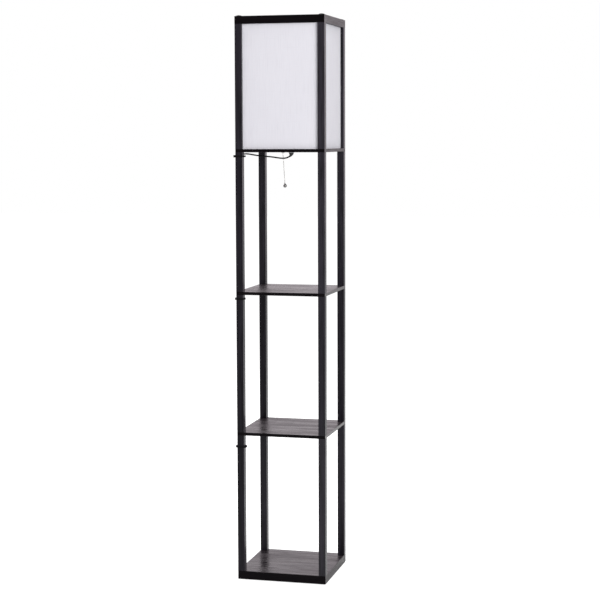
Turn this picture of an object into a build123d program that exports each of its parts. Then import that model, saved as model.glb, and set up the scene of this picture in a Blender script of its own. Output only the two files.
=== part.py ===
from build123d import *
import os
from math import asin, ceil, cos, dist, pi, radians, sin, sqrt, tan

# A floor lamp built as a square tower: a thick base, three open bays between thin boards,
# and a white shade above. Four square posts at the corners are cut into lengths that stand
# between the boards. All lengths are in mm. Z is up, and the origin is on the floor under
# the middle of the tower. The front faces -Y.

# ---- driving dimensions ----
width = 258.0
depth = 258.0
post = 20.0
glide_high = 2.0
base_thick = 24.0
board_thick = 9.0
lower_bay = 393.0
middle_bay = 393.0
upper_bay = 393.0
shade_high = 348.0
rail_high = 22.0

# edges of the foil-wrapped wood
base_ease = 1.0
wood_ease = 0.6

# ---- joinery ----
stud_r = 3.0
stud_grip = 12.0
stud_hole_r = 3.3
insert_r = 4.5
insert_long = 13.0
insert_hole_deep = 15.0
thread_clear = 0.05
seat_clear = 0.02
screw_head_r = 5.5
screw_head_high = 3.5
counterbore_r = 6.25
base_counterbore = 10.0
top_counterbore = 7.0
socket_af = 4.0
socket_deep = 2.2
cap_r = 8.5
cap_high = 3.0
cap_rim = 0.8
cap_stem_long = 2.5
cap_stem_clear = 0.15
glide_r = 11.0
glide_inset = 34.0
glide_ease = 0.5

# ---- shade panels in their grooves ----
panel_thick = 1.2
groove_wide = 1.6
post_groove = 4.0
rail_groove = 4.0
deck_groove = 2.5
panel_slack = 0.5

# ---- lamp holder and bulb, on the middle axis ----
nipple_r = 5.0
nipple_bore_r = 3.0
nipple_above = 14.0
nipple_below = 6.0
nut_af = 14.0
upper_nut_high = 3.5
lower_nut_high = 3.0
holder_r = 17.0
holder_wall = 2.5
holder_floor = 3.5
holder_base_high = 20.0
sleeve_high = 34.0
sleeve_wall = 2.4
holder_ease = 1.2
core_r = 14.4
core_gap = 0.2
core_high = 11.8
shell_r = 14.0
shell_wall = 0.6
shell_high = 24.0
contact_r = 3.0
contact_high = 3.0
bulb_gap = 0.3
bulb_cap_r = 13.1
bulb_cap_high = 23.0
bulb_tip_r = 4.5
bulb_tip_high = 3.5
thread_pitch = 3.6
thread_deep = 0.7
bulb_wall = 1.2
housing_high = 44.0
bulb_r = 30.0
diffuser_high = 38.0

# ---- pull switch, standing on the deck beside the holder ----
chain_x = -25.0
switch_inner_x = -18.2
switch_outer_x = -43.0
switch_half_y = 9.5
switch_high = 20.0
switch_wall = 1.5
switch_floor = 2.0
cover_thick = 1.5
cover_lip = 2.0
cover_clear = 0.1
neck_r = 4.0
neck_bore_r = 2.2
neck_below = 2.5
neck_hole_r = 4.15
neck_nut_r = 6.0
neck_nut_high = 2.0
rotor_r = 5.6
rotor_wide = 6.0
rotor_up = 11.0
rotor_gap = 0.35
axle_r = 1.5
axle_clear = 0.05
notch_r = 1.0
notch_count = 8

# ---- pull chain ----
bead_r = 1.2
bead_pitch = 3.3
link_r = 0.4
swing_drop = 4.6
swing_gap = 0.1
chain_lean = 3.6
ball_r = 5.25
ball_down = 92.8
ball_neck_r = 2.0
ball_neck_high = 4.0
ball_socket_r = bead_r + seat_clear

# ---- mains cord, gland and ties ----
cord_r = 2.0
gland_mouth_r = 2.6
tie_wide = 4.6
tie_thick = 1.2
tie_clear = 0.2
tie_head_wide = 6.5
tie_head_high = 6.4
tie_head_y = -121.0

# ---- coil of spare cord and its plug, on the floor behind the base ----
coil_pitch = 4.45
coil_turns = 6.14
coil_outer_r = 29.7
coil_low = 3.0
coil_behind = 33.3
coil_x = -55.0
coil_start_deg = -110.0
coil_entry = 18.0
coil_tie_wide = 5.0
coil_tie_thick = 0.8
coil_tie_clear = 0.3
coil_tie_under = 0.9
plug_x = 46.0
plug_behind = 23.0
plug_lead = 9.0
plug_relief_wall = 0.6
plug_relief_long = 20.0
plug_relief_r = 5.0
plug_long = 28.0
plug_wide = 24.0
plug_thick = 15.0
plug_round = 4.0
blade_long = 17.5
blade_high = 6.35
blade_thick = 1.5
blade_apart = 12.7

# ---- heights that follow ----
base_low = glide_high
base_top = base_low + base_thick
shelf_1_low = base_top + lower_bay
shelf_1_top = shelf_1_low + board_thick
shelf_2_low = shelf_1_top + middle_bay
shelf_2_top = shelf_2_low + board_thick
deck_low = shelf_2_top + upper_bay
deck_top = deck_low + board_thick
rail_low = deck_top + shade_high
rail_top = rail_low + rail_high

post_x = width / 2 - post / 2
post_y = depth / 2 - post / 2
inner_x = width / 2 - post
inner_y = depth / 2 - post
corners = {
    "front_left": (-1, -1),
    "front_right": (1, -1),
    "back_left": (-1, 1),
    "back_right": (1, 1),
}

# ---- cord routes, chosen by hand ----
# Out of the gland, along the deck to the front left post, round behind it and down its
# outer back corner, where three ties hold it. Each height is a drop from the deck.
cord_below_deck = [
    (-4.1, -3.7, 12.8),
    (-8.9, -8.1, 16.1),
    (-14.8, -13.4, 17.9),
    (-22.2, -20.0, 18.1),
    (-31.9, -28.6, 16.7),
    (-44.2, -40.6, 14.2),
    (-58.8, -54.4, 12.2),
    (-76.2, -69.2, 10.3),
    (-91.6, -83.3, 7.1),
    (-101.6, -92.6, 4.7),
    (-110.2, -98.8, 4.4),
    (-119.6, -102.5, 7.4),
    (-127.0, -104.0, 13.8),
    (-131.2, -104.8, 23.0),
    (-132.6, -105.3, 34.2),
    (-133.1, -105.5, 48.5),
    (-133.3, -105.5, 70.0),
    (-133.4, -105.7, 105.0),
    (-133.8, -105.5, 157.0),
    (-133.9, -105.6, 213.0),
    (-133.5, -105.9, 269.0),
    (-132.8, -106.4, 325.0),
    (-132.1, -107.0, 375.0),
    (-131.7, -107.5, 414.0),
    (-131.8, -107.3, 455.0),
    (-132.6, -106.6, 507.0),
    (-133.3, -106.1, 563.0),
    (-133.6, -105.9, 619.0),
    (-133.3, -106.1, 675.0),
    (-132.5, -106.9, 731.0),
    (-131.9, -107.3, 787.0),
    (-131.7, -107.6, 837.0),
    (-131.9, -107.3, 883.0),
    (-132.7, -106.7, 935.0),
    (-133.3, -106.2, 991.0),
    (-133.5, -106.1, 1047.0),
]
# Down to the floor, back along the left side of the base, and round behind it.
cord_near_floor = [
    (-133.4, -106.3, 122.0),
    (-133.2, -106.4, 84.0),
    (-133.0, -106.1, 58.0),
    (-133.0, -104.6, 40.0),
    (-133.2, -100.4, 25.0),
    (-133.6, -92.4, 13.0),
    (-134.2, -80.8, 5.6),
    (-135.0, -66.0, 2.9),
    (-136.0, -46.0, 2.3),
    (-137.3, -12.0, 2.2),
    (-138.3, 32.0, 2.2),
    (-139.6, 74.0, 2.2),
    (-140.4, 104.0, 2.2),
    (-138.2, 123.0, 2.2),
    (-131.2, 136.6, 2.2),
    (-117.4, 144.8, 2.2),
    (-100.2, 146.2, 2.4),
]
tail_points = [
    (-12.6, 150.4, 6.4),
    (2.0, 153.6, 5.6),
    (18.0, 153.5, 5.9),
    (30.0, 152.4, 6.9),
]
# each cord tie: height, how far it bows out on the right, how far its head stands out,
# and where the cord passes in it
ties = [
    (deck_low - 11.0, 5.8, 6.6, [(-118.2, -102.2), (-127.6, -104.1)]),
    (shelf_2_low - 11.5, 2.6, 3.0, [(-131.7, -107.5)]),
    (shelf_1_low - 33.0, 4.7, 3.6, [(-131.7, -107.6)]),
]
tie_front_bow = 0.6
# sections of the gland from the nut down: drop, shift along the cord, tilt and radius
gland_sections = [
    (0.0, 0.0, 0.0, 6.8),
    (3.2, 0.2, 4.0, 6.2),
    (6.4, 2.0, 30.0, 4.2),
]


cord_points = [(x, y, deck_low - drop) for x, y, drop in cord_below_deck] + cord_near_floor


# ---- small helpers ----
def block(x, y, z):
    """A box from three (low, high) pairs."""
    middle = Pos(sum(x) / 2, sum(y) / 2, sum(z) / 2)
    return middle * Box(abs(x[1] - x[0]), abs(y[1] - y[0]), abs(z[1] - z[0]))


def rod(radius, low, high, x=0.0, y=0.0):
    """An upright cylinder."""
    return Pos(x, y, (low + high) / 2) * Cylinder(radius, high - low)


def tube(outer, inner, low, high, x=0.0, y=0.0):
    return rod(outer, low, high, x, y) - rod(inner, low, high, x, y)


def hex_nut(across_flats, bore_r, low, high):
    outline = RegularPolygon(across_flats / 2, 6, major_radius=False)
    return Pos(0, 0, low) * extrude(outline, high - low) - rod(bore_r, low, high)


def at_posts():
    """The middle of each corner post."""
    return [(sx * post_x, sy * post_y) for sx, sy in corners.values()]


def group(solids):
    return Compound(children=[s for piece in solids for s in piece.solids()])


def save(name, shape):
    export_step(shape, f"parts/{name}.step")


# ---- boards and base ----
def board(low, high, ease):
    plate = block((-width / 2, width / 2), (-depth / 2, depth / 2), (low, high))
    plate = fillet(plate.edges(), ease)
    for x, y in at_posts():
        plate -= rod(stud_hole_r, low, high, x, y)
    return plate


def base_board():
    plate = board(base_low, base_top, base_ease)
    for x, y in at_posts():
        plate -= rod(counterbore_r, base_low, base_low + base_counterbore, x, y)
    return plate


def deck_board():
    plate = board(deck_low, deck_top, wood_ease)
    plate -= rod(nipple_r + thread_clear, deck_low, deck_top)
    plate -= rod(neck_hole_r, deck_low, deck_top, chain_x)
    for slot in panel_slots(deck_top - deck_groove, deck_top):
        plate -= slot
    return plate


def panel_slots(low, high):
    """The four grooves that the edges of the shade panels stand in."""
    half = groove_wide / 2
    reach_x = inner_x + post_groove
    reach_y = inner_y + post_groove
    slots = []
    for side in (-1, 1):
        across = (side * post_y - half, side * post_y + half)
        slots.append(block((-reach_x, reach_x), across, (low, high)))
        across = (side * post_x - half, side * post_x + half)
        slots.append(block(across, (-reach_y, reach_y), (low, high)))
    return slots


def at_glides():
    """The middle of each foot glide."""
    x, y = width / 2 - glide_inset, depth / 2 - glide_inset
    return [(sx * x, sy * y) for sx, sy in corners.values()]


def foot_glide(x, y):
    pad = rod(glide_r, 0, glide_high, x, y)
    return chamfer(pad.edges().group_by(Axis.Z)[0], glide_ease)


# ---- posts ----
def post_length(sx, sy, low, high):
    """One length of a corner post, with a blind hole for an insert in each end."""
    x, y = sx * post_x, sy * post_y
    half = post / 2
    bar = block((x - half, x + half), (y - half, y + half), (low, high))
    bar = fillet(bar.edges().filter_by(Axis.Z), wood_ease)
    bar -= rod(insert_r + seat_clear, low, low + insert_hole_deep, x, y)
    bar -= rod(insert_r + seat_clear, high - insert_hole_deep, high, x, y)
    return bar


def shade_post(sx, sy):
    bar = post_length(sx, sy, deck_top, rail_low)
    for slot in panel_slots(deck_top, rail_low):
        bar -= slot
    return bar


def insert(x, y, low):
    return tube(insert_r, stud_r + thread_clear, low, low + insert_long, x, y)


def post_inserts():
    ends = []
    for low, high in post_spans():
        for x, y in at_posts():
            ends.append(insert(x, y, low))
            ends.append(insert(x, y, high - insert_long))
    return ends


def post_spans():
    return [
        (base_top, shelf_1_low),
        (shelf_1_top, shelf_2_low),
        (shelf_2_top, deck_low),
        (deck_top, rail_low),
    ]


def board_studs():
    """The threaded studs through the two shelves and the deck."""
    boards = [(shelf_1_low, shelf_1_top), (shelf_2_low, shelf_2_top), (deck_low, deck_top)]
    return [
        rod(stud_r, low - stud_grip, high + stud_grip, x, y)
        for low, high in boards
        for x, y in at_posts()
    ]


def machine_screw(x, y, seat, tip):
    """A screw from its head's seat to its tip, with a hexagon socket in the head."""
    out = screw_head_high if tip < seat else -screw_head_high
    low, high = sorted((seat, seat + out))
    screw = rod(screw_head_r, low, high, x, y) + rod(stud_r, *sorted((seat, tip)), x, y)
    socket = RegularPolygon(socket_af / 2, 6, major_radius=False)
    face = seat + out
    depth_sign = -1 if out > 0 else 1
    screw -= Pos(x, y, face) * extrude(socket, depth_sign * socket_deep)
    return screw


def base_screws():
    seat = base_low + base_counterbore
    return [machine_screw(x, y, seat, base_top + stud_grip) for x, y in at_posts()]


# ---- top frame ----
def rail_outline(side):
    """A mitred rail seen from above, along the front or back edge."""
    outer = side * depth / 2
    inner = side * inner_y
    corner_points = [
        (-width / 2, outer),
        (width / 2, outer),
        (inner_x, inner),
        (-inner_x, inner),
    ]
    return make_face(Polyline(*corner_points, close=True))


def side_outline(side):
    """A mitred rail seen from above, along the left or right edge."""
    outer = side * width / 2
    inner = side * inner_x
    corner_points = [
        (outer, -depth / 2),
        (outer, depth / 2),
        (inner, inner_y),
        (inner, -inner_y),
    ]
    return make_face(Polyline(*corner_points, close=True))


def top_rail(outline, along):
    rail = Pos(0, 0, rail_low) * extrude(outline, rail_high)
    rail = fillet(rail.edges().filter_by(along), wood_ease)
    for slot in panel_slots(rail_low, rail_low + rail_groove):
        rail -= slot
    for x, y in at_posts():
        rail -= rod(stud_hole_r, rail_low, rail_top, x, y)
        rail -= rod(counterbore_r, rail_top - top_counterbore, rail_top, x, y)
    return rail


def top_screws():
    seat = rail_top - top_counterbore
    return [machine_screw(x, y, seat, rail_low - stud_grip) for x, y in at_posts()]


def screw_cap(x, y):
    """A domed cap, its stem pressed into the counterbore."""
    dome = cap_high - cap_rim
    crown_r = (cap_r**2 + dome**2) / (2 * dome)
    turn = asin(cap_r / crown_r) / 2
    middle = (crown_r * sin(turn), cap_high - crown_r * (1 - cos(turn)))
    stem_r = counterbore_r - cap_stem_clear
    outline = [
        Line((0, -cap_stem_long), (stem_r, -cap_stem_long)),
        Line((stem_r, -cap_stem_long), (stem_r, 0)),
        Line((stem_r, 0), (cap_r, 0)),
        Line((cap_r, 0), (cap_r, cap_rim)),
        ThreePointArc((cap_r, cap_rim), middle, (0, cap_high)),
        Line((0, cap_high), (0, -cap_stem_long)),
    ]
    return Pos(x, y, rail_top) * revolve(Plane.XZ * make_face(outline), Axis.Z)


# ---- shade ----
def panel_front_back(side):
    half = panel_thick / 2
    reach = inner_x + post_groove - panel_slack
    across = (side * post_y - half, side * post_y + half)
    return block((-reach, reach), across, panel_heights())


def panel_left_right(side):
    half = panel_thick / 2
    reach = inner_y + post_groove - panel_slack
    across = (side * post_x - half, side * post_x + half)
    return block(across, (-reach, reach), panel_heights())


def panel_heights():
    return (deck_top - deck_groove + panel_slack, rail_low + rail_groove - panel_slack)


# ---- lamp holder ----
core_low = deck_top + nipple_above + core_gap
core_top = core_low + core_high
sleeve_low = deck_top + holder_base_high
sleeve_top = sleeve_low + sleeve_high
bulb_low = core_top + contact_high + bulb_gap
bulb_cap_low = bulb_low + bulb_tip_high
bulb_cap_top = bulb_cap_low + bulb_cap_high
housing_top = bulb_cap_top + housing_high
bulb_top = housing_top + diffuser_high


def threaded_nipple():
    return tube(nipple_r, nipple_bore_r, deck_low - nipple_below, deck_top + nipple_above)


def nipple_nuts():
    bore = nipple_r + thread_clear
    floor_top = deck_top + holder_floor
    upper = hex_nut(nut_af, bore, floor_top, floor_top + upper_nut_high)
    lower = hex_nut(nut_af, bore, deck_low - lower_nut_high, deck_low)
    return [upper, lower]


def holder_base():
    cup = rod(holder_r, deck_top, sleeve_low)
    cup = fillet(cup.edges().group_by(Axis.Z)[0], holder_ease)
    cup -= rod(holder_r - holder_wall, deck_top + holder_floor, sleeve_low)
    cup -= rod(nipple_r + thread_clear, deck_top, deck_top + holder_floor)
    return cup


def holder_sleeve():
    sleeve = rod(holder_r, sleeve_low, sleeve_top)
    sleeve = fillet(sleeve.edges().group_by(Axis.Z)[-1], holder_ease)
    return sleeve - rod(holder_r - sleeve_wall, sleeve_low, sleeve_top)


def holder_core():
    return rod(core_r, core_low, core_top)


def holder_shell():
    return tube(shell_r, shell_r - shell_wall, core_top, core_top + shell_high)


def holder_contact():
    return rod(contact_r, core_top, core_top + contact_high)


# ---- bulb ----
def bulb_cap():
    """A screw cap with rounded threads, and the insulated tip below it."""
    ridge = bulb_cap_r
    root = bulb_cap_r - thread_deep
    count = int((bulb_cap_high - thread_pitch) / thread_pitch)
    start = bulb_cap_top - thread_pitch / 2 - count * thread_pitch
    outline = [
        Line((0, bulb_low), (bulb_tip_r, bulb_low)),
        Line((bulb_tip_r, bulb_low), (root, bulb_cap_low)),
        Line((root, bulb_cap_low), (root, start)),
    ]
    for turn in range(count):
        low = start + turn * thread_pitch
        middle = (ridge, low + thread_pitch / 2)
        outline.append(ThreePointArc((root, low), middle, (root, low + thread_pitch)))
    outline.append(Line((root, bulb_cap_top - thread_pitch / 2), (root, bulb_cap_top)))
    outline.append(Line((root, bulb_cap_top), (0, bulb_cap_top)))
    outline.append(Line((0, bulb_cap_top), (0, bulb_low)))
    return revolve(Plane.XZ * make_face(outline), Axis.Z)


def housing_edge(wall):
    """The side of the bulb's housing, from the cap up to the diffuser."""
    low = (bulb_cap_r - wall, bulb_cap_top)
    high = (bulb_r - wall, housing_top)
    return Spline(low, high, tangents=[(0.25, 1), (0.12, 1)])


def bulb_housing():
    outer = housing_edge(0)
    inner = housing_edge(bulb_wall)
    outline = [outer, inner, Line(outer @ 0, inner @ 0), Line(outer @ 1, inner @ 1)]
    return revolve(Plane.XZ * make_face(outline), Axis.Z)


def dome_edge(wall):
    side = (bulb_r - wall, housing_top)
    return Spline(side, (0, bulb_top - wall), tangents=[(0, 1), (-1, 0)])


def bulb_diffuser():
    outer = dome_edge(0)
    inner = dome_edge(bulb_wall)
    outline = [outer, inner, Line(outer @ 0, inner @ 0), Line(outer @ 1, inner @ 1)]
    return revolve(Plane.XZ * make_face(outline), Axis.Z)


# ---- pull switch ----
rotor_x = chain_x - bead_r - rotor_gap - rotor_r
rotor_z = deck_top + rotor_up
switch_top = deck_top + switch_high


def switch_cavity(gap=0.0):
    x = (switch_outer_x + switch_wall + gap, switch_inner_x - switch_wall - gap)
    half = switch_half_y - switch_wall - gap
    return x, (-half, half)


def axle(radius, half_long):
    pin = Cylinder(radius, 2 * half_long)
    return Pos(rotor_x, 0, rotor_z) * Rot(90, 0, 0) * pin


def switch_housing():
    x_span = (switch_outer_x, switch_inner_x)
    y_span = (-switch_half_y, switch_half_y)
    case = block(x_span, y_span, (deck_top, switch_top))
    case = fillet(case.edges().filter_by(Axis.Z), switch_wall / 2)
    case -= block(*switch_cavity(), (deck_top + switch_floor, switch_top))
    case -= axle(axle_r + axle_clear, switch_half_y)
    case += rod(neck_r, deck_low - neck_below, deck_top, chain_x)
    return case - rod(neck_bore_r, deck_low - neck_below, deck_top + switch_floor, chain_x)


def switch_cover():
    x_span = (switch_outer_x, switch_inner_x)
    y_span = (-switch_half_y, switch_half_y)
    lid = block(x_span, y_span, (switch_top, switch_top + cover_thick))
    lid = fillet(lid.edges().filter_by(Axis.Z), switch_wall / 2)
    return lid + block(*switch_cavity(cover_clear), (switch_top - cover_lip, switch_top))


def neck_nut():
    low = deck_low - neck_nut_high
    ring = rod(neck_nut_r, low, deck_low, chain_x)
    ring = chamfer(ring.edges().group_by(Axis.Z)[0], neck_nut_high / 4)
    return ring - rod(neck_r + seat_clear, low, deck_low, chain_x)


def switch_rotor():
    """A ratchet wheel on a pin; the chain runs down past its rim."""
    wheel = Pos(rotor_x, 0, rotor_z) * Rot(90, 0, 0) * Cylinder(rotor_r, rotor_wide)
    for step in range(notch_count):
        turn = 2 * pi * (step + 0.5) / notch_count
        x = rotor_x + rotor_r * cos(turn)
        z = rotor_z + rotor_r * sin(turn)
        wheel -= Pos(x, 0, z) * Rot(90, 0, 0) * Cylinder(notch_r, rotor_wide)
    return wheel + axle(axle_r, switch_half_y)


# ---- pull chain ----
swing_z = deck_low - swing_drop


def bead_string(length):
    """Beads on a wire, hanging from the origin down to the given length."""
    count = int((length - bead_r) / bead_pitch) + 1
    wire = rod(link_r, -length, 0)
    beads = [Pos(0, 0, -length + i * bead_pitch) * Sphere(bead_r) for i in range(count)]
    return wire + beads


def chain_upper():
    """From beside the rotor down through the neck."""
    top = rotor_z + bead_r
    low = swing_z + bead_r + swing_gap
    string = Rot(180, 0, 0) * bead_string(top - low)
    return Pos(chain_x, 0, low) * string


def swing_bead():
    return Pos(chain_x, 0, swing_z) * Sphere(bead_r)


def leaning():
    """Places what hangs below the swing bead, at the angle that it hangs in."""
    return Pos(chain_x, 0, swing_z) * Rot(0, -chain_lean, 0)


def chain_lower():
    start = bead_r + swing_gap
    socket_middle = ball_down - ball_r - ball_neck_high + ball_socket_r
    return leaning() * Pos(0, 0, -start) * bead_string(socket_middle - start)


def chain_ball():
    """The round pull, with a neck that the last bead sits in."""
    middle = Pos(0, 0, -ball_down)
    neck_top = -ball_down + ball_r + ball_neck_high
    ball = middle * Sphere(ball_r) + rod(ball_neck_r, -ball_down, neck_top)
    ball -= rod(ball_socket_r, neck_top - 2 * ball_socket_r, neck_top)
    return leaning() * ball


# ---- cord ----
def cord_radii(points):
    """The radius of each bend, as large as its two runs allow."""
    radii = []
    for before, here, after in zip(points, points[1:], points[2:]):
        turn = (here - before).get_angle(after - here)
        shorter = min((here - before).length, (after - here).length)
        radii.append(0.45 * shorter / tan(radians(turn / 2)))
    return radii


def cord_tube(name, points):
    points = [Vector(p) for p in points]
    radii = cord_radii(points)
    path = FilletPolyline(*points, radius=radii)
    face = Plane(origin=points[0], z_dir=points[1] - points[0]) * Circle(cord_r)
    solid = sweep(face, path=path)
    expected = pi * cord_r**2 * path.length
    print(name, "length", round(path.length), "least radius", round(min(radii), 1))
    print(name, "volume / section x length", round(solid.volume / expected, 4))
    return solid


def gland():
    """Tapered, and bent over towards the front left post."""
    top = deck_low - lower_nut_high
    mouth = Vector(cord_points[0])
    run = Vector(cord_points[1]) - mouth
    heading = Vector(run.X, run.Y, 0).normalized()
    across = Vector(-heading.Y, heading.X, 0)
    faces = []
    for drop, shift, tilt, radius in gland_sections:
        middle = Vector(0, 0, top - drop) + heading * shift
        normal = heading * sin(radians(tilt)) - Vector(0, 0, cos(radians(tilt)))
        faces.append(Plane(origin=middle, x_dir=across, z_dir=normal) * Circle(radius))
    faces.append(Plane(origin=mouth, x_dir=across, z_dir=run) * Circle(gland_mouth_r))
    bush = loft(faces)
    return bush - rod(nipple_r + thread_clear, deck_low - nipple_below, deck_low)


def cord_tie(height, bow, head_out, cord):
    """A band round the front left post and the cord, with its head on the left."""
    left, right = -width / 2 - tie_clear, -inner_x + tie_clear
    front, back = -depth / 2 - tie_clear, -inner_y + tie_clear
    wrapped = [
        SagittaArc((left, front), (right, front), -tie_front_bow),
        SagittaArc((right, front), (right, back), -bow),
    ]
    wrapped += [Pos(x, y) * Circle(cord_r + tie_clear).edge() for x, y in cord]
    inside = make_hull(wrapped)
    outside = offset(inside, tie_thick)
    band = Pos(0, 0, height - tie_wide / 2) * extrude(outside - inside, tie_wide)
    hole = Pos(0, 0, height - tie_head_high) * extrude(inside, 2 * tie_head_high)
    share = (tie_head_y - front) / (cord[-1][1] - front)
    head_x = left + share * (cord[-1][0] - cord_r - tie_clear - left)
    head = block(
        (head_x - head_out, head_x + tie_thick),
        (tie_head_y - tie_head_wide / 2, tie_head_y + tie_head_wide / 2),
        (height - tie_head_high / 2, height + tie_head_high / 2),
    )
    return band + (head - hole)


# ---- coil of spare cord ----
coil_y = depth / 2 + coil_behind
coil_high = coil_low + coil_pitch
coil_middle = pi * coil_turns
coil_inner_r = coil_outer_r - coil_pitch * coil_turns / 2
coil_steps = 2 * ceil(2 * coil_turns)
coil_step = 2 * coil_middle / coil_steps


def coil_climb(angle):
    """Share of the climb to the upper layer, which takes two steps about the middle."""
    share = (angle - coil_middle + coil_step) / (2 * coil_step)
    share = min(max(share, 0.0), 1.0)
    return share * share * (3 - 2 * share)


def coil_point(angle):
    """A point of the coil: in from its start, up a layer, and out again."""
    radius = coil_inner_r + coil_pitch * abs(angle - coil_middle) / (2 * pi)
    turn = radians(coil_start_deg) + angle
    x = coil_x + radius * cos(turn)
    y = coil_y + radius * sin(turn)
    return Vector(x, y, coil_low + (coil_high - coil_low) * coil_climb(angle))


def coil_heading(angle):
    small = 0.001
    low = max(angle - small, 0)
    high = min(angle + small, 2 * coil_middle)
    return (coil_point(high) - coil_point(low)).normalized()


def biarc(start, heading, end, end_heading):
    """Two arcs that leave and arrive along the given headings."""
    across = end - start
    spread = 2 * (1 - heading.dot(end_heading))
    along = across.dot(heading + end_heading)
    reach = (sqrt(along**2 + spread * across.dot(across)) - along) / spread
    corner = start + heading * reach
    other = end - end_heading * reach
    middle = (corner + other) / 2
    return [
        TangentArc(start, middle, tangent=heading),
        TangentArc(middle, end, tangent=other - corner),
    ]


def cord_coil():
    angles = [i * coil_step for i in range(coil_steps + 1)]
    start, end = coil_point(angles[0]), coil_point(angles[-1])
    lead = 2 * cord_r
    path = [Line(start - coil_heading(angles[0]) * lead, start)]
    for low, high in zip(angles, angles[1:]):
        path += biarc(coil_point(low), coil_heading(low), coil_point(high), coil_heading(high))
    path.append(Line(end, end + coil_heading(angles[-1]) * lead))
    wire = Wire(path)
    print("coil length", round(wire.length), "least gap", round(coil_gap(), 2))
    face = Plane(origin=wire @ 0, z_dir=wire % 0) * Circle(cord_r)
    return sweep(face, path=wire)


def coil_gap():
    """The least gap between two turns, over points along the coil."""
    per_turn = 36
    count = int(coil_turns * per_turn)
    points = [tuple(coil_point(2 * pi * i / per_turn)) for i in range(count)]
    apart = [
        dist(a, b)
        for i, a in enumerate(points)
        for b in points[i + per_turn // 2 :]
    ]
    return min(apart) - 2 * cord_r


def coil_tie(side):
    """A band round all the turns, on the left or the right of the coil."""
    reach = coil_tie_clear + cord_r
    inner, outer = coil_inner_r - reach, coil_outer_r + reach
    low, high = coil_tie_under, coil_high + reach
    half = coil_tie_wide / 2
    skin = coil_tie_thick
    span = sorted((side * (inner - skin), side * (outer + skin)))
    band = block(span, (-half, half), (low - skin, high + skin))
    band = fillet(band.edges().filter_by(Axis.Y), skin)
    band -= block(sorted((side * inner, side * outer)), (-half, half), (low, high))
    return Pos(coil_x, coil_y, 0) * band


# ---- plug ----
plug_y = depth / 2 + plug_behind
plug_z = plug_thick / 2


def plug_body():
    low = plug_x + plug_relief_long
    high = low + plug_long
    half = plug_wide / 2
    body = block((low, high), (plug_y - half, plug_y + half), (0, plug_thick))
    body = fillet(body.edges().filter_by(Axis.X), plug_round)
    body = fillet(body.edges().group_by(Axis.X)[0], plug_round / 2)
    relief = Cone(cord_r + plug_relief_wall, plug_relief_r, plug_relief_long)
    return body + Pos((plug_x + low) / 2, plug_y, plug_z) * Rot(0, 90, 0) * relief


def plug_blades():
    low = plug_x + plug_relief_long + plug_long
    blades = []
    for side in (-1, 1):
        y = plug_y + side * blade_apart / 2
        y_span = (y - blade_thick / 2, y + blade_thick / 2)
        z_span = (plug_z - blade_high / 2, plug_z + blade_high / 2)
        blade = block((low, low + blade_long), y_span, z_span)
        tip_edges = blade.edges().filter_by(Axis.Y).group_by(Axis.X)[-1]
        blades.append(fillet(tip_edges, blade_high / 4))
    return blades


def main():
    os.makedirs("parts", exist_ok=True)

    save("base_board", base_board())
    save("foot_glides", group([foot_glide(x, y) for x, y in at_glides()]))
    save("base_screws", group(base_screws()))
    save("lower_shelf", board(shelf_1_low, shelf_1_top, wood_ease))
    save("middle_shelf", board(shelf_2_low, shelf_2_top, wood_ease))
    save("lamp_deck", deck_board())

    for corner, (sx, sy) in corners.items():
        save(f"lower_post_{corner}", post_length(sx, sy, base_top, shelf_1_low))
        save(f"middle_post_{corner}", post_length(sx, sy, shelf_1_top, shelf_2_low))
        save(f"upper_post_{corner}", post_length(sx, sy, shelf_2_top, deck_low))
        save(f"shade_post_{corner}", shade_post(sx, sy))

    save("post_inserts", group(post_inserts()))
    save("board_studs", group(board_studs()))

    save("top_rail_front", top_rail(rail_outline(-1), Axis.X))
    save("top_rail_back", top_rail(rail_outline(1), Axis.X))
    save("top_rail_left", top_rail(side_outline(-1), Axis.Y))
    save("top_rail_right", top_rail(side_outline(1), Axis.Y))
    save("top_screws", group(top_screws()))
    save("screw_caps", group([screw_cap(x, y) for x, y in at_posts()]))

    save("shade_panel_front", panel_front_back(-1))
    save("shade_panel_back", panel_front_back(1))
    save("shade_panel_left", panel_left_right(-1))
    save("shade_panel_right", panel_left_right(1))

    save("threaded_nipple", threaded_nipple())
    save("nipple_nuts", group(nipple_nuts()))
    save("holder_base", holder_base())
    save("holder_sleeve", holder_sleeve())
    save("holder_core", holder_core())
    save("holder_shell", holder_shell())
    save("holder_contact", holder_contact())
    save("bulb_cap", bulb_cap())
    save("bulb_housing", bulb_housing())
    save("bulb_diffuser", bulb_diffuser())

    save("switch_housing", switch_housing())
    save("switch_cover", switch_cover())
    save("switch_rotor", switch_rotor())
    save("neck_nut", neck_nut())
    save("chain_upper", chain_upper())
    save("chain_swing_bead", swing_bead())
    save("chain_lower", chain_lower())
    save("chain_ball", chain_ball())

    start, heading = coil_point(0), coil_heading(0)
    joint = start - heading * 2 * cord_r
    run = [Vector(p) for p in cord_points] + [joint - heading * coil_entry, joint]
    end, end_heading = coil_point(2 * coil_middle), coil_heading(2 * coil_middle)
    joint = end + end_heading * 2 * cord_r
    plug_back = Vector(plug_x, plug_y, plug_z)
    tail = [joint, joint + end_heading * coil_entry / 2]
    tail += [Vector(p) for p in tail_points] + [plug_back - Vector(plug_lead, 0, 0), plug_back]
    save("cord_gland", gland())
    save("mains_cord", cord_tube("mains_cord", run))
    save("cord_coil", cord_coil())
    save("cord_tail", cord_tube("cord_tail", tail))
    save("cord_ties", group([cord_tie(*tie) for tie in ties]))
    save("coil_ties", group([coil_tie(side) for side in (-1, 1)]))
    save("plug_body", plug_body())
    save("plug_blades", group(plug_blades()))


main()
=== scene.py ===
from math import cos, pi, radians, sin, tau

import bmesh
import bpy
from mathutils import Matrix, Vector, noise


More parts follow.
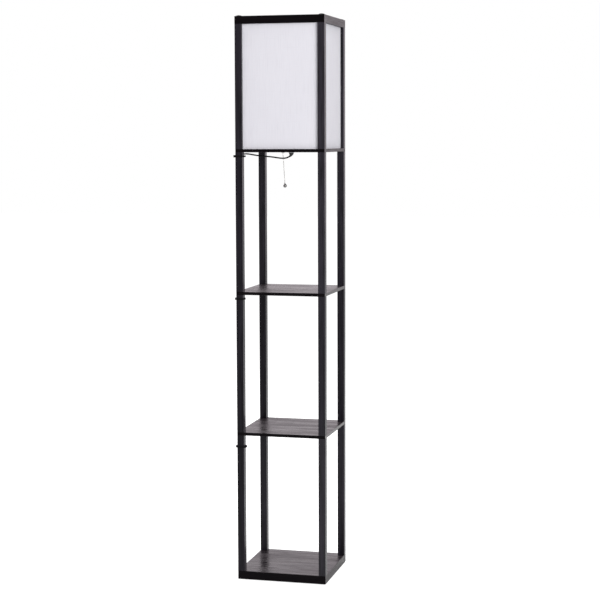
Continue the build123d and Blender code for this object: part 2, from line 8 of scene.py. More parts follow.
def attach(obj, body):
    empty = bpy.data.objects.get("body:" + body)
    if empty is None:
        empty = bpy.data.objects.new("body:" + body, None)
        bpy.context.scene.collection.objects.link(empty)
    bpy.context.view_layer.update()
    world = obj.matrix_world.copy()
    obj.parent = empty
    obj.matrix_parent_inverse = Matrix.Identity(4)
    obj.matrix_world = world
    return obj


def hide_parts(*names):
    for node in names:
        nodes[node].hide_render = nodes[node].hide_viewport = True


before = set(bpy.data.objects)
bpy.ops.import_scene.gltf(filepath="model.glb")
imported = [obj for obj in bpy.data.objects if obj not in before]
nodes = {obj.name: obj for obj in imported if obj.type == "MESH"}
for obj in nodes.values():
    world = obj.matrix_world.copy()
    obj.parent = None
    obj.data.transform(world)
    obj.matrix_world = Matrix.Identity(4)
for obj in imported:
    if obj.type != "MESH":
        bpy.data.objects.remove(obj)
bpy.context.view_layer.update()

# The looks of a square floor lamp with a white cloth shade on a black shelf tower.
# Lengths are in metres unless a name or a comment says mm.

MM = 0.001
corners = ("front_left", "front_right", "back_left", "back_right")
sides = ("front", "back", "left", "right")


# ---- camera, fitted to the corners of the tower in the photograph ----
CAMERA_AT = (1.17696, -4.48429, 1.27144)
CAMERA_YAW = 0.2516
CAMERA_PITCH = 0.0856
CAMERA_ROLL = -0.0035
FOCAL_PX = 1614.2
CENTRE_ROW_PX = 273.35
FRAME_PX = 600
SENSOR_MM = 36.0
CLIP_END = 100.0


def add_camera():
    yaw, pitch, roll = CAMERA_YAW, CAMERA_PITCH, CAMERA_ROLL
    ahead = Vector((-sin(yaw) * cos(pitch), cos(yaw) * cos(pitch), -sin(pitch)))
    right = Vector((cos(yaw), sin(yaw), 0.0))
    up = right.cross(ahead)
    turned_right = cos(roll) * right + sin(roll) * up
    turned_up = cos(roll) * up - sin(roll) * right
    data = bpy.data.cameras.new("camera")
    data.sensor_width = SENSOR_MM
    data.lens = SENSOR_MM * FOCAL_PX / FRAME_PX
    data.shift_y = (CENTRE_ROW_PX - FRAME_PX / 2) / FRAME_PX
    data.clip_end = CLIP_END
    camera = bpy.data.objects.new("camera", data)
    bpy.context.scene.collection.objects.link(camera)
    turn = Matrix((turned_right, turned_up, -ahead)).transposed().to_4x4()
    camera.matrix_world = Matrix.Translation(CAMERA_AT) @ turn
    bpy.context.scene.camera = camera


add_camera()


# ---- shader nodes ----
# the colour sockets of a mix node, and the scale at which a wave node has one band per unit along an axis
MIX_FIRST, MIX_SECOND, MIX_RESULT = 6, 7, 2
ONE_BAND = tau / 20.0


def fill(tree, node, values):
    """Sets a node's inputs by name or number, each to a value or from another node's output."""
    for name, value in values.items():
        socket = node.inputs[name]
        if isinstance(value, bpy.types.NodeSocket):
            tree.links.new(value, socket)
        else:
            socket.default_value = value


def add_node(tree, kind, values=None, **settings):
    node = tree.nodes.new("ShaderNode" + kind)
    for name, value in settings.items():
        setattr(node, name, value)
    fill(tree, node, values or {})
    return node


def maths(tree, operation, first, second):
    return add_node(tree, "Math", {0: first, 1: second}, operation=operation).outputs["Value"]


def mix_colours(tree, share, first, second):
    values = {"Factor": share, MIX_FIRST: (*first, 1.0), MIX_SECOND: (*second, 1.0)}
    return add_node(tree, "Mix", values, data_type="RGBA").outputs[MIX_RESULT]


# ---- materials ----
class Look:
    """A material in the making, with short calls for its nodes."""

    def __init__(self, name, colour, roughness, metallic=0.0):
        self.material = bpy.data.materials.new(name)
        self.material.use_nodes = True
        self.tree = self.material.node_tree
        self.shader = self.tree.nodes["Principled BSDF"]
        self.set(Metallic=metallic, Roughness=roughness)
        self.set(**{"Base Color": (*colour, 1.0)})
        self.place = self.add("TexCoord").outputs["Object"]

    def set(self, **values):
        fill(self.tree, self.shader, values)

    def add(self, kind, values=None, **settings):
        return add_node(self.tree, kind, values, **settings)

    def maths(self, operation, first, second):
        return maths(self.tree, operation, first, second)

    def scaled(self, value, factor):
        return self.maths("MULTIPLY", value, factor)

    def mixed(self, share, first, second):
        return mix_colours(self.tree, share, first, second)

    def stretched(self, per_metre):
        """The place on the piece, scaled differently along X, Y and Z."""
        return self.add("Mapping", {"Vector": self.place, "Scale": per_metre}).outputs["Vector"]

    def noise(self, per_metre, detail=4.0, rough=0.5, warp=0.0):
        values = {
            "Vector": self.stretched(per_metre),
            "Scale": 1.0,
            "Detail": detail,
            "Roughness": rough,
            "Distortion": warp,
        }
        return self.add("TexNoise", values).outputs["Fac"]

    def waves(self, per_metre, direction, warp=0.0):
        """Sine bands along one direction, counted per metre."""
        values = {
            "Vector": self.stretched((per_metre,) * 3),
            "Scale": ONE_BAND,
            "Distortion": warp,
            "Detail": 1.0,
        }
        return self.add("TexWave", values, bands_direction=direction).outputs["Fac"]

    def spread(self, value, low, high, out_low=0.0, out_high=1.0):
        """Maps low to high of a value onto a new range, and clamps it."""
        values = {
            "Value": value,
            "From Min": low,
            "From Max": high,
            "To Min": out_low,
            "To Max": out_high,
        }
        return self.add("MapRange", values).outputs["Result"]

    def bump(self, height, depth, strength=1.0):
        values = {"Height": height, "Distance": depth, "Strength": strength}
        self.set(Normal=self.add("Bump", values).outputs["Normal"])


# wood-grain foil: each count is per metre, first across the grain and then along it
PORES = (1500.0, 34.0)
STREAKS_ALONG = 9.0
BANDS = (26.0, 2.2)
STREAK_SHARE, BAND_SHARE = 0.65, 0.35
PORE_EDGE = (0.56, 0.68)
FIGURE_EDGE = (0.36, 0.64)
FIGURE_ROUGHER, PORE_ROUGHER = 0.08, 0.25
FIGURE_HIGH, PORE_DEEP = 0.35, 0.65
WOOD_BUMP = 0.6


def grain(along, across_count, along_count):
    """Counts per metre for X, Y and Z, where the grain runs along one of them."""
    counts = [across_count] * 3
    counts["XYZ".index(along)] = along_count
    return counts


def wood(
    name, along, dark, light, ior=1.3, rough=0.36, contrast=1.0, streaks_per_metre=160.0, relief=0.06
):
    """Black wood-grain foil. The grain runs along one axis, and relief is in mm."""
    look = Look(name, dark, rough)
    pores = look.noise(grain(along, *PORES), detail=3.0)
    streak_counts = grain(along, streaks_per_metre, STREAKS_ALONG)
    streaks = look.noise(streak_counts, detail=6.0, rough=0.6, warp=0.6)
    bands = look.noise(grain(along, *BANDS), detail=3.0, warp=1.2)
    figure = look.maths("ADD", look.scaled(streaks, STREAK_SHARE), look.scaled(bands, BAND_SHARE))
    open_pores = look.spread(pores, *PORE_EDGE)
    tone = look.spread(figure, *FIGURE_EDGE)
    look.set(**{"Base Color": look.mixed(tone, dark, light)})
    change = FIGURE_ROUGHER * contrast
    sheen = look.spread(figure, *FIGURE_EDGE, rough - change, rough + change)
    look.set(Roughness=look.maths("ADD", sheen, look.scaled(open_pores, PORE_ROUGHER)))
    height = look.maths("SUBTRACT", look.scaled(figure, FIGURE_HIGH), look.scaled(open_pores, PORE_DEEP))
    look.bump(height, relief * MM, WOOD_BUMP)
    look.set(IOR=ior)
    return look.material


PLASTIC_CLOUD = 60.0
LIGHTER_TIMES, LIGHTER_PLUS = 1.35, 0.004
SMOOTHER, DULLER = 0.05, 0.08


def plastic(name, colour, roughness, grain_count=900.0, depth=0.03, ior=1.45):
    """Moulded plastic with a fine spark-eroded skin and slight cloudiness. Depth is in mm."""
    look = Look(name, colour, roughness)
    look.set(IOR=ior)
    skin = look.noise((grain_count,) * 3, detail=2.0)
    cloud = look.noise((PLASTIC_CLOUD,) * 3, detail=3.0)
    lighter = tuple(min(1.0, LIGHTER_TIMES * c + LIGHTER_PLUS) for c in colour)
    look.set(**{"Base Color": look.mixed(look.spread(cloud, 0.35, 0.7), colour, lighter)})
    look.set(Roughness=look.spread(cloud, 0.3, 0.7, roughness - SMOOTHER, roughness + DULLER))
    look.bump(skin, depth * MM, 0.5)
    return look.material


MARKS = (500.0, 500.0, 30.0)
SMUDGES = 90.0
WORN_TIMES = 0.78
SMUDGE_ROUGHER, MARK_ROUGHER = 0.14, 0.06
MARK_DEPTH_MM = 0.01


def metal(name, colour, roughness):
    """Plated or turned metal, with fine marks and handling smudges."""
    look = Look(name, colour, roughness, metallic=1.0)
    marks = look.noise(MARKS, detail=3.0)
    smudge = look.noise((SMUDGES,) * 3, detail=4.0)
    worn = tuple(WORN_TIMES * c for c in colour)
    look.set(**{"Base Color": look.mixed(look.spread(smudge, 0.45, 0.75), colour, worn)})
    rough = look.spread(smudge, 0.3, 0.75, roughness, roughness + SMUDGE_ROUGHER)
    look.set(Roughness=look.maths("ADD", rough, look.scaled(marks, MARK_ROUGHER)))
    look.bump(marks, MARK_DEPTH_MM * MM, 0.4)
    return look.material


WARP_THREADS, WEFT_THREADS = 1250.0, 1100.0
THREAD_WOBBLE = 0.4
SLUBS_UP = (520.0, 520.0, 16.0)
SLUBS_LEVEL = (16.0, 16.0, 420.0)
CLOTH_CLOUD = (9.0, 9.0, 5.0)
LEVEL_SLUB_SHARE = 0.6
WEAVE_SHARE = 0.3
CLOTH_DEPTH_MM = 0.12
CLOTH_PALE = (0.85, 0.838, 0.90)
CLOTH_THICK = (0.768, 0.756, 0.82)
CLOTH_GLOW = (0.82, 0.80, 0.76, 1.0)
CLOTH_GLOW_SHARE = 0.18


def shade_cloth(name, across):
    """White woven cloth: fine warp and weft, with slubs that run mostly upright."""
    look = Look(name, (0.78, 0.79, 0.81), 0.88)
    warp_threads = look.waves(WARP_THREADS, across, warp=THREAD_WOBBLE)
    weft_threads = look.waves(WEFT_THREADS, "Z", warp=THREAD_WOBBLE)
    slub_up = look.spread(look.noise(SLUBS_UP, detail=3.0), 0.5, 0.72)
    slub_level = look.spread(look.noise(SLUBS_LEVEL, detail=3.0), 0.56, 0.75)
    cloud = look.noise(CLOTH_CLOUD, detail=3.0)
    thick = look.maths("MAXIMUM", slub_up, look.scaled(slub_level, LEVEL_SLUB_SHARE))
    weave = look.scaled(look.maths("ADD", warp_threads, weft_threads), WEAVE_SHARE)
    tone = look.maths("ADD", look.scaled(thick, 0.5), look.scaled(cloud, 0.5))
    shade = look.mixed(look.spread(tone, 0.1, 0.8), CLOTH_PALE, CLOTH_THICK)
    look.set(**{"Base Color": shade, "Sheen Weight": 0.15, "Sheen Roughness": 0.5, "IOR": 1.35})
    look.bump(look.maths("ADD", weave, thick), CLOTH_DEPTH_MM * MM, 0.5)
    glow = look.add("BsdfTranslucent", {"Color": CLOTH_GLOW})
    both = look.add("MixShader", {"Fac": CLOTH_GLOW_SHARE})
    out = look.tree.nodes["Material Output"]
    fill(look.tree, both, {1: look.shader.outputs["BSDF"], 2: glow.outputs["BSDF"]})
    fill(look.tree, out, {"Surface": both.outputs["Shader"]})
    return look.material


TIE_TEETH = 1100.0
TIE_SMUDGES = 240.0
TOOTH_DEPTH_MM = 0.06


def nylon_tie(name):
    """Glossy black nylon with the fine teeth of a cable tie's strap."""
    look = Look(name, (0.003, 0.003, 0.0035), 0.34)
    look.set(IOR=1.2)
    teeth = look.waves(TIE_TEETH, "DIAGONAL")
    smudge = look.noise((TIE_SMUDGES,) * 3)
    look.set(Roughness=look.spread(smudge, 0.3, 0.7, 0.28, 0.44))
    look.bump(teeth, TOOTH_DEPTH_MM * MM, 0.5)
    return look.material


def frosted(name):
    """A frosted white bulb, slightly cloudy."""
    look = Look(name, (0.86, 0.86, 0.84), 0.3)
    cloud = look.noise((40.0,) * 3)
    look.set(**{"Base Color": look.mixed(cloud, (0.88, 0.88, 0.86), (0.80, 0.80, 0.78))})
    look.set(**{"Subsurface Weight": 0.4, "Subsurface Radius": (0.006, 0.006, 0.005)})
    look.set(**{"Coat Weight": 0.3, "Coat Roughness": 0.15})
    look.bump(look.noise((1800.0,) * 3, detail=1.0), 0.01 * MM, 0.4)
    return look.material


WOOD_DARK = (0.0022, 0.0018, 0.0034)
WOOD_LIGHT = (0.0170, 0.0142, 0.0215)
POST_SIDE_IOR = 1.42
# Copies of the upright foil, scaled darker or paler and given their own IOR. Besides some tone that
# differs between posts, they paint light and shade: the paler copy is painted light on the front-right
# posts, on the key light's side, and the darker copy is painted shade on the front-left and middle back
# posts.
PAINTED_SHADE_FOIL, PAINTED_SHADE_FOIL_IOR = 0.75, 1.25
PAINTED_LIGHT_FOIL, PAINTED_LIGHT_FOIL_IOR = 1.25, 1.35
PAINTED_SHADE_POSTS = (
    "upper_front_left",
    "middle_front_left",
    "lower_front_left",
    "middle_back_left",
    "middle_back_right",
)
PAINTED_LIGHT_POSTS = ("shade_front_right", "upper_front_right", "lower_front_right")
# The board flats' foil is paler and redder than the posts': part grain tone, part painted sheen, lighter
# to stand in for the light the tops reflect and the shade of the shelves above.
TOP_GRAIN_AND_SHEEN_DARK = (0.007, 0.0048, 0.0062)
TOP_GRAIN_AND_SHEEN_LIGHT = (0.030, 0.022, 0.027)
TOP_IOR = 1.5
TOP_ROUGH = 0.31
TOP_CONTRAST = 2.0
TOP_STREAKS = 90.0
TOP_RELIEF = 0.10
EDGE_DARK = (0.0016, 0.0010, 0.0016)
EDGE_LIGHT = (0.0042, 0.0028, 0.0038)
EDGE_FRONT_IOR = 1.15
SIDE_DARK = (0.005, 0.003, 0.004)
SIDE_LIGHT = (0.018, 0.013, 0.016)
SIDE_IOR = 1.46
# The shelves' left and right edges are far paler than the foil: painted sheen, standing in for the light
# these thin edges reflect.
SHELF_SIDE_SHEEN_DARK = (0.022, 0.017, 0.020)
SHELF_SIDE_SHEEN_LIGHT = (0.050, 0.040, 0.046)
SHELF_SIDE_IOR = 1.7
SHELF_SIDE_ROUGH = 0.2


def tinted(colour, share):
    return tuple(share * c for c in colour)


def upright(name, share, ior):
    """The foil of an upright, darker with painted shade or paler with painted light than the usual one."""
    return wood(name, "Z", tinted(WOOD_DARK, share), tinted(WOOD_LIGHT, share), ior)


wood_up = wood("black_wood_upright", "Z", WOOD_DARK, WOOD_LIGHT)
wood_up_painted_shade = upright("black_wood_upright_painted_shade", PAINTED_SHADE_FOIL, PAINTED_SHADE_FOIL_IOR)
wood_up_painted_light = upright("black_wood_upright_painted_light", PAINTED_LIGHT_FOIL, PAINTED_LIGHT_FOIL_IOR)
wood_left = wood("black_wood_level", "X", WOOD_DARK, WOOD_LIGHT)
wood_deep = wood("black_wood_deep", "Y", WOOD_DARK, WOOD_LIGHT)
wood_side = wood("black_wood_post_side", "Z", WOOD_DARK, WOOD_LIGHT, POST_SIDE_IOR, rough=0.28)
wood_flat_grain_and_sheen = wood(
    "black_wood_shelf_grain_and_sheen", "X", TOP_GRAIN_AND_SHEEN_DARK, TOP_GRAIN_AND_SHEEN_LIGHT, TOP_IOR, TOP_ROUGH, TOP_CONTRAST, TOP_STREAKS, TOP_RELIEF
)
edge_left = wood("edge_band_level", "X", EDGE_DARK, EDGE_LIGHT, EDGE_FRONT_IOR)
edge_deep = wood("edge_band_deep", "Y", SIDE_DARK, SIDE_LIGHT, SIDE_IOR)
edge_shelf_painted_sheen = wood(
    "edge_band_shelf_painted_sheen", "Y", SHELF_SIDE_SHEEN_DARK, SHELF_SIDE_SHEEN_LIGHT, SHELF_SIDE_IOR, SHELF_SIDE_ROUGH
)
black_plastic = plastic("black_moulding", (0.012, 0.012, 0.012), 0.42)
white_plastic = plastic("white_moulding", (0.72, 0.72, 0.69), 0.38)
glaze = plastic("glazed_insulator", (0.72, 0.69, 0.62), 0.22, grain_count=200.0)
pvc = plastic("cord_sheath", (0.0025, 0.0025, 0.003), 0.5, grain_count=1400.0, depth=0.02, ior=1.15)
foam = plastic("glide_foam", (0.03, 0.03, 0.03), 0.9, grain_count=2200.0, depth=0.2)
nickel = metal("nickel_plate", (0.66, 0.65, 0.62), 0.18)
dark_nickel = metal("dark_nickel", (0.24, 0.235, 0.23), 0.14)
zinc = metal("zinc_plate", (0.52, 0.53, 0.55), 0.32)
brass = metal("turned_brass", (0.62, 0.47, 0.22), 0.26)
tie_nylon = nylon_tie("tie_nylon")
bulb_glass = frosted("frosted_bulb")


# how much of a face's normal points along an axis, for the face to count as facing that way
FACING = 0.7


def dress(material, *names):
    """Puts a material on CAD nodes."""
    for name in names:
        mesh = nodes[name].data
        mesh.materials.clear()
        mesh.materials.append(material)


def dress_board(name, flat, front, side):
    """Puts a material on a board's flats, on its front and back edges, and on its left and right ones."""
    dress(flat, name)
    mesh = nodes[name].data
    mesh.materials.append(front)
    mesh.materials.append(side)
    for face in mesh.polygons:
        x, y, z = (abs(c) for c in face.normal)
        if z < FACING:
            face.material_index = 1 if y > x else 2


# Picks the painted-shade or painted-light copy of the foil for a post, or the usual foil.
def post_foil(place):
    if place in PAINTED_SHADE_POSTS:
        return wood_up_painted_shade
    if place in PAINTED_LIGHT_POSTS:
        return wood_up_painted_light
    return wood_up


def dress_post(level, corner):
    """Gives a post its foil, with painted shade or painted light on some posts, and its left and right
    faces a glossier one.
    """
    name = f"{level}_post_{corner}"
    dress(post_foil(f"{level}_{corner}"), name)
    mesh = nodes[name].data
    mesh.materials.append(wood_side)
    for face in mesh.polygons:
        if abs(face.normal.x) > FACING:
            face.material_index = 1


def dress_tower():
    for level in ("lower", "middle", "upper", "shade"):
        for corner in corners:
            dress_post(level, corner)
    # board flats get the foil with grain tone and painted sheen
    for name in ("base_board", "lamp_deck"):
        dress_board(name, wood_flat_grain_and_sheen, edge_left, edge_deep)
    # the shelves' left and right edges get the paler edge foil with painted sheen
    for name in ("lower_shelf", "middle_shelf"):
        dress_board(name, wood_flat_grain_and_sheen, edge_left, edge_shelf_painted_sheen)
    for side in ("front", "back"):
        dress_board(f"top_rail_{side}", wood_left, edge_left, edge_deep)
    for side in ("left", "right"):
        dress_board(f"top_rail_{side}", wood_deep, edge_left, edge_deep)
    dress(foam, "foot_glides")
    dress(zinc, "base_screws", "top_screws", "board_studs", "threaded_nipple", "nipple_nuts")
    dress(brass, "post_inserts", "holder_shell", "holder_contact")
    dress(black_plastic, "screw_caps", "holder_base", "holder_sleeve", "cord_gland")
    dress(black_plastic, "switch_housing", "switch_cover")
    dress(white_plastic, "switch_rotor", "bulb_housing")
    dress(glaze, "holder_core")
    dress(bulb_glass, "bulb_diffuser")
    dress(nickel, "bulb_cap", "neck_nut", "chain_upper", "chain_swing_bead")
    dress(nickel, "chain_lower", "plug_blades")
    dress(dark_nickel, "chain_ball")
    dress(tie_nylon, "cord_ties", "coil_ties")


dress_tower()


# ---- mesh helpers ----
def new_piece(name, mesh, material, body="root"):
    piece = bpy.data.objects.new(name, mesh)
    bpy.context.scene.collection.objects.link(piece)
    piece.data.materials.append(material)
    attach(piece, body)
    return piece


def from_grid(name, rows, close_ring=False, caps=False):
    """A mesh from rows of points, each row as long as the next."""
    work = bmesh.new()
    grid = [[work.verts.new(p) for p in row] for row in rows]
    count = len(grid[0])
    last_point = count if close_ring else count - 1
    for a, b in zip(grid, grid[1:]):
        for j in range(last_point):
            work.faces.new((a[j], a[(j + 1) % count], b[(j + 1) % count], b[j]))
    if caps:
        work.faces.new(grid[0][::-1])
        work.faces.new(grid[-1])
    bmesh.ops.recalc_face_normals(work, faces=work.faces)
    mesh = bpy.data.meshes.new(name)
    work.to_mesh(mesh)
    work.free()
    return mesh


# ---- mains cord: out of the gland, down the post, and coiled behind the base ----
CORD_R = 2.0 * MM
CORD_BEVEL_STEPS = 5
CORD_STEPS = 6
ROUTE_MM = [
    (-4.1, -3.7, 1210.2),
    (-8.9, -8.1, 1206.9),
    (-14.8, -13.4, 1205.1),
    (-22.2, -20.0, 1204.9),
    (-31.9, -28.6, 1206.3),
    (-44.2, -40.6, 1208.8),
    (-58.8, -54.4, 1210.8),
    (-76.2, -69.2, 1212.7),
    (-91.6, -83.3, 1215.9),
    (-101.6, -92.6, 1218.3),
    (-110.2, -98.8, 1218.6),
    (-119.6, -102.5, 1215.6),
    (-127.0, -104.0, 1209.2),
    (-131.2, -104.8, 1200.0),
    (-132.6, -105.3, 1188.8),
    (-133.1, -105.5, 1174.5),
    (-133.3, -105.5, 1153.0),
    (-133.4, -105.7, 1118.0),
    (-133.8, -105.5, 1066.0),
    (-133.9, -105.6, 1010.0),
    (-133.5, -105.9, 954.0),
    (-132.8, -106.4, 898.0),
    (-132.1, -107.0, 848.0),
    (-131.7, -107.5, 809.0),
    (-131.8, -107.3, 768.0),
    (-132.6, -106.6, 716.0),
    (-133.3, -106.1, 660.0),
    (-133.6, -105.9, 604.0),
    (-133.3, -106.1, 548.0),
    (-132.5, -106.9, 492.0),
    (-131.9, -107.3, 436.0),
    (-131.7, -107.6, 386.0),
    (-131.9, -107.3, 340.0),
    (-132.7, -106.7, 288.0),
    (-133.3, -106.2, 232.0),
    (-133.5, -106.1, 176.0),
    (-133.4, -106.3, 122.0),
    (-133.2, -106.4, 84.0),
    (-133.0, -106.1, 58.0),
    (-133.0, -104.6, 40.0),
    (-133.2, -100.4, 25.0),
    (-133.6, -92.4, 13.0),
    (-134.2, -80.8, 5.6),
    (-135.0, -66.0, 2.9),
    (-136.0, -46.0, 2.3),
    (-137.3, -12.0, 2.2),
    (-138.3, 32.0, 2.2),
    (-139.6, 74.0, 2.2),
    (-140.4, 104.0, 2.2),
    (-138.2, 123.0, 2.2),
    (-131.2, 136.6, 2.2),
    (-117.4, 144.8, 2.2),
    (-100.2, 146.2, 2.4),
]
TAIL_MM = [
    (-12.6, 150.4, 6.4),
    (2.0, 153.6, 5.6),
    (18.0, 153.5, 5.9),
    (30.0, 152.4, 6.9),
    (37.0, 152.0, 7.5),
    (46.0, 152.0, 7.5),
]
# the coil: in from its start, up a layer, and out again
COIL_AT_MM = (-55.0, 162.3)
COIL_PITCH_MM = 4.45
COIL_TURNS = 6.14
COIL_OUTER_MM = 29.7
COIL_LOW_MM = 3.0
COIL_START = radians(-110.0)
COIL_ENTRY_MM = 18.0
COIL_LEAD_MM = 4.0
COIL_POINTS_PER_TURN = 18
COIL_CLIMB = tau / 4


def coil_point(angle):
    middle = pi * COIL_TURNS
    inner = COIL_OUTER_MM - COIL_PITCH_MM * COIL_TURNS / 2
    radius = inner + COIL_PITCH_MM * abs(angle - middle) / tau
    share = min(max((angle - middle + COIL_CLIMB) / (2 * COIL_CLIMB), 0.0), 1.0)
    climb = share * share * (3 - 2 * share)
    turn = COIL_START + angle
    x = COIL_AT_MM[0] + radius * cos(turn)
    y = COIL_AT_MM[1] + radius * sin(turn)
    return Vector((x, y, COIL_LOW_MM + COIL_PITCH_MM * climb))


def cord_points():
    """Every control point of the cord, from the gland to the plug, in mm."""
    last = tau * COIL_TURNS
    count = round(COIL_TURNS * COIL_POINTS_PER_TURN)
    coil = [coil_point(last * i / count) for i in range(count + 1)]
    into = (coil[1] - coil[0]).normalized()
    away = (coil[-1] - coil[-2]).normalized()
    lead_in = [coil[0] - into * (COIL_LEAD_MM + COIL_ENTRY_MM), coil[0] - into * COIL_LEAD_MM]
    lead_out = [coil[-1] + away * COIL_LEAD_MM, coil[-1] + away * (COIL_LEAD_MM + COIL_ENTRY_MM / 2)]
    route = [Vector(p) for p in ROUTE_MM]
    tail = [Vector(p) for p in TAIL_MM]
    return route + lead_in + coil + lead_out + tail


def add_cord():
    points = cord_points()
    data = bpy.data.curves.new("mains_lead", "CURVE")
    data.dimensions = "3D"
    data.bevel_depth = CORD_R
    data.bevel_resolution = CORD_BEVEL_STEPS
    data.use_fill_caps = True
    data.resolution_u = CORD_STEPS
    spline = data.splines.new("NURBS")
    spline.points.add(len(points) - 1)
    for point, place in zip(spline.points, points):
        point.co = (*(place * MM), 1.0)
    spline.order_u = 3
    spline.use_endpoint_u = True
    cord = new_piece("mains_lead", data, pvc)
    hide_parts("mains_cord", "cord_coil", "cord_tail")
    return cord


RING_POINTS = 36


def ring(x, half_wide, half_high, power, at):
    """A rounded-square section across X; a higher power has squarer corners."""
    points = []
    for i in range(RING_POINTS):
        turn = tau * i / RING_POINTS
        c, s = cos(turn), sin(turn)
        y = half_wide * abs(c) ** (2 / power) * (1 if c >= 0 else -1)
        z = half_high * abs(s) ** (2 / power) * (1 if s >= 0 else -1)
        points.append((x * MM, (at[0] + y) * MM, (at[1] + z) * MM))
    return points


PLUG_X_MM = 46.0
PLUG_AT_MM = (152.0, 7.5)
ROUND_POWER = 2.0
RELIEF_MM = 20.0
RELIEF_RIBS = 6
RELIEF_R_MM = 2.6
RELIEF_WIDENS_MM = 2.4
RIB_SHARE = 0.55
GROOVE_SHARE = 0.98
RIB_OUT_MM = 0.2
GROOVE_IN_MM = (0.5, 0.45)
# sections of the plug's body: distance along it, half its width, half its height, and the corners' power
BODY_MM = (
    (0.0, 5.0, 5.0, 2.0),
    (0.6, 6.4, 5.4, 2.3),
    (2.5, 8.6, 6.4, 2.8),
    (6.0, 9.8, 7.0, 3.2),
    (7.0, 9.6, 6.5, 3.2),
    (8.2, 9.9, 7.0, 3.2),
    (9.2, 9.7, 6.5, 3.2),
    (10.4, 10.2, 7.0, 3.4),
    (11.4, 10.0, 6.5, 3.4),
    (12.6, 10.6, 7.1, 3.6),
    (17.0, 11.3, 7.3, 4.0),
    (24.0, 11.9, 7.45, 4.4),
    (27.2, 12.0, 7.5, 4.6),
    (28.0, 11.6, 7.1, 4.6),
)


def rib_rows(i):
    """One rib of the strain relief and the groove behind it."""
    start = i / RELIEF_RIBS
    rib_end = (i + RIB_SHARE) / RELIEF_RIBS
    groove_end = start + GROOVE_SHARE / RELIEF_RIBS
    r = RELIEF_R_MM + RELIEF_WIDENS_MM * start
    profile = (
        (start, r),
        (rib_end, r + RIB_OUT_MM),
        (rib_end, r - GROOVE_IN_MM[0]),
        (groove_end, r - GROOVE_IN_MM[1]),
    )
    return [ring(PLUG_X_MM + RELIEF_MM * x, out, out, ROUND_POWER, PLUG_AT_MM) for x, out in profile]


def add_plug():
    """A moulded plug: ribbed strain relief, waisted grip and a flat face."""
    rows = []
    for i in range(RELIEF_RIBS):
        rows += rib_rows(i)
    for x, half_wide, half_high, power in BODY_MM:
        rows.append(ring(PLUG_X_MM + RELIEF_MM + x, half_wide, half_high, power, PLUG_AT_MM))
    mesh = from_grid("plug_moulding", rows, close_ring=True, caps=True)
    for face in mesh.polygons:
        face.use_smooth = len(face.vertices) == 4
    plug = new_piece("plug_moulding", mesh, pvc)
    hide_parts("plug_body")
    return plug


cord = add_cord()
plug = add_plug()


# ---- shade: four cloth panels, each stretched in the grooves of its frame ----
PANEL_WIDE = 225.0 * MM
PANEL_HIGH = 353.5 * MM
PANEL_LOW = 1230.0 * MM
PANEL_OUT = 119.0 * MM
PANEL_THICK = 0.9 * MM
PANEL_STEP = 2.5 * MM
SLUB_MM, SLUBS_ACROSS, SLUBS_HIGH = 0.035, 900, 45
WAVE_MM, WAVES_ACROSS, WAVES_HIGH = 0.10, 14, 9
SLUB_PLACE, WAVE_PLACE = 7.0, 3.0
# the way out of each panel, and the way across it
PANEL_AXES = {
    "front": (Vector((0, -1, 0)), Vector((1, 0, 0))),
    "back": (Vector((0, 1, 0)), Vector((-1, 0, 0))),
    "left": (Vector((-1, 0, 0)), Vector((0, -1, 0))),
    "right": (Vector((1, 0, 0)), Vector((0, 1, 0))),
}
cloth = {axis: shade_cloth(f"shade_cloth_{axis.lower()}", axis) for axis in "XY"}


def add_panel(side):
    """A cloth face with slight slackness, as a thin closed sheet."""
    out, across = PANEL_AXES[side]
    columns = round(PANEL_WIDE / PANEL_STEP)
    levels = round(PANEL_HIGH / PANEL_STEP)
    rows = []
    for i in range(levels + 1):
        z = PANEL_LOW + PANEL_HIGH * i / levels
        row = []
        for j in range(columns + 1):
            u = PANEL_WIDE * (j / columns - 0.5)
            place = out * PANEL_OUT + across * u + Vector((0, 0, z))
            slub = SLUB_MM * noise.noise(Vector((u * SLUBS_ACROSS, z * SLUBS_HIGH, SLUB_PLACE)))
            fold = Vector((u * WAVES_ACROSS, z * WAVES_HIGH, WAVE_PLACE + sides.index(side)))
            wave = WAVE_MM * noise.noise(fold)
            row.append(place + out * (slub + wave) * MM)
        rows.append(row)
    mesh = from_grid(f"shade_cloth_{side}", rows)
    for face in mesh.polygons:
        face.use_smooth = True
    direction = "X" if side in ("front", "back") else "Y"
    panel = new_piece(f"shade_cloth_{side}", mesh, cloth[direction])
    skin = panel.modifiers.new("thickness", "SOLIDIFY")
    skin.thickness = PANEL_THICK
    skin.offset = 0.0
    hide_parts(f"shade_panel_{side}")


for side in sides:
    add_panel(side)


# ---- floor, background and lights ----
FLOOR_HALF = 20.0
FLOOR_CELLS = 8
FLOOR_DROP = 0.0002
FLOOR_COLOUR = (0.8, 0.8, 0.8)
FLOOR_ROUGH = 0.9
FLOOR_LIFT = 0.75
FLOOR_MIRRORED = 0.3
WORLD_LIGHT = 0.42
WHITE = (1.0, 1.0, 1.0)
# what mirror rays see of the world: its colour, and its strength toward the front, where Y is -0.9
# or less; it rises to 1 where Y is 0.1
MIRRORED_COLOUR = (1.0, 0.92, 0.97)
FRONT_MIRRORED = 0.2
FRONT_Y, SIDE_Y = -0.9, 0.1


def seen_white(tree, mirrored):
    """1 for camera and through-glass rays, a share for mirror rays, 0 for the rays that light."""
    path = add_node(tree, "LightPath").outputs
    direct = maths(tree, "MAXIMUM", path["Is Camera Ray"], path["Is Transmission Ray"])
    return maths(tree, "MAXIMUM", direct, maths(tree, "MULTIPLY", path["Is Glossy Ray"], mirrored))


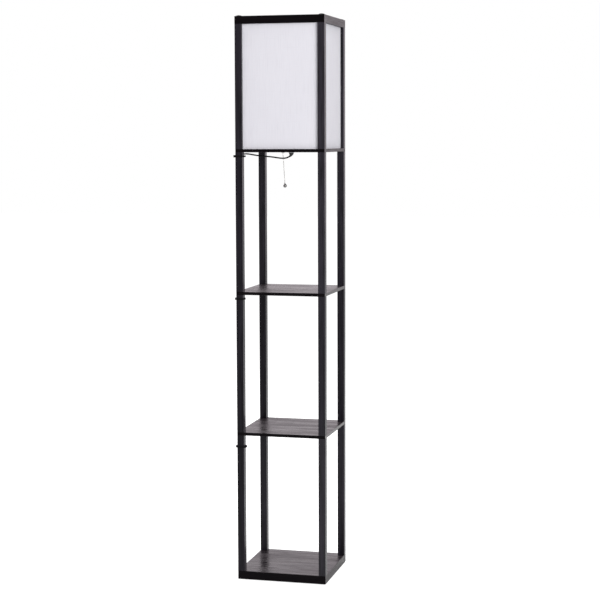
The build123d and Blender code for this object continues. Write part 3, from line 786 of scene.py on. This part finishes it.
def add_floor():
    work = bmesh.new()
    bmesh.ops.create_grid(work, x_segments=FLOOR_CELLS, y_segments=FLOOR_CELLS, size=FLOOR_HALF)
    mesh = bpy.data.meshes.new("floor")
    work.to_mesh(mesh)
    work.free()
    floor = bpy.data.objects.new("floor", mesh)
    bpy.context.scene.collection.objects.link(floor)
    floor.location.z = -FLOOR_DROP
    look = Look("floor_paint", FLOOR_COLOUR, FLOOR_ROUGH)
    look.set(**{"Specular IOR Level": 0.0})
    lift = look.scaled(seen_white(look.tree, FLOOR_MIRRORED), FLOOR_LIFT)
    glow = look.add("Emission", {"Color": (*WHITE, 1.0), "Strength": lift})
    both = look.add("AddShader", {0: look.shader.outputs["BSDF"], 1: glow.outputs["Emission"]})
    fill(look.tree, look.tree.nodes["Material Output"], {"Surface": both.outputs["Shader"]})
    floor.data.materials.append(look.material)


def mirrored_strength(tree):
    """The studio is dimmer on the side that the lamp faces, which only reflections show."""
    place = add_node(tree, "TexCoord").outputs["Generated"]
    values = {
        "Value": add_node(tree, "SeparateXYZ", {"Vector": place}).outputs["Y"],
        "From Min": FRONT_Y,
        "From Max": SIDE_Y,
        "To Min": FRONT_MIRRORED,
        "To Max": 1.0,
    }
    return add_node(tree, "MapRange", values).outputs["Result"]


def add_world():
    """White to the camera, weaker as light, and with a faint violet cast in reflections."""
    world = bpy.data.worlds.new("studio")
    bpy.context.scene.world = world
    world.use_nodes = True
    tree = world.node_tree
    glossy = add_node(tree, "LightPath").outputs["Is Glossy Ray"]
    seen = seen_white(tree, mirrored_strength(tree))
    strength = add_node(tree, "MapRange", {"Value": seen, "To Min": WORLD_LIGHT, "To Max": 1.0})
    values = {
        "Color": mix_colours(tree, glossy, WHITE, MIRRORED_COLOUR),
        "Strength": strength.outputs["Result"],
    }
    fill(tree, tree.nodes["Background"], values)


def add_softbox(name, direction, distance, size, watts):
    data = bpy.data.lights.new(name, "AREA")
    data.shape = "RECTANGLE"
    data.size, data.size_y = size
    data.energy = watts
    lamp = bpy.data.objects.new(name, data)
    bpy.context.scene.collection.objects.link(lamp)
    away = Vector(direction).normalized()
    lamp.location = LIGHTS_AIM + away * distance
    lamp.rotation_euler = away.to_track_quat("Z", "Y").to_euler()


LIGHTS_AIM = Vector((0.0, 0.0, 0.9))
# name, direction, distance, size and watts
SOFTBOXES = (
    ("key", (0.58, -0.78, 0.20), 4.0, (2.0, 2.0), 111.0),
    ("top", (0.15, 0.1, 1.0), 3.2, (2.4, 2.4), 30.0),
    ("rear", (-0.80, 0.62, 0.55), 4.0, (2.0, 2.0), 70.0),
)
add_floor()
add_world()
for softbox in SOFTBOXES:
    add_softbox(*softbox)

scene = bpy.context.scene
scene.view_settings.view_transform = "Standard"
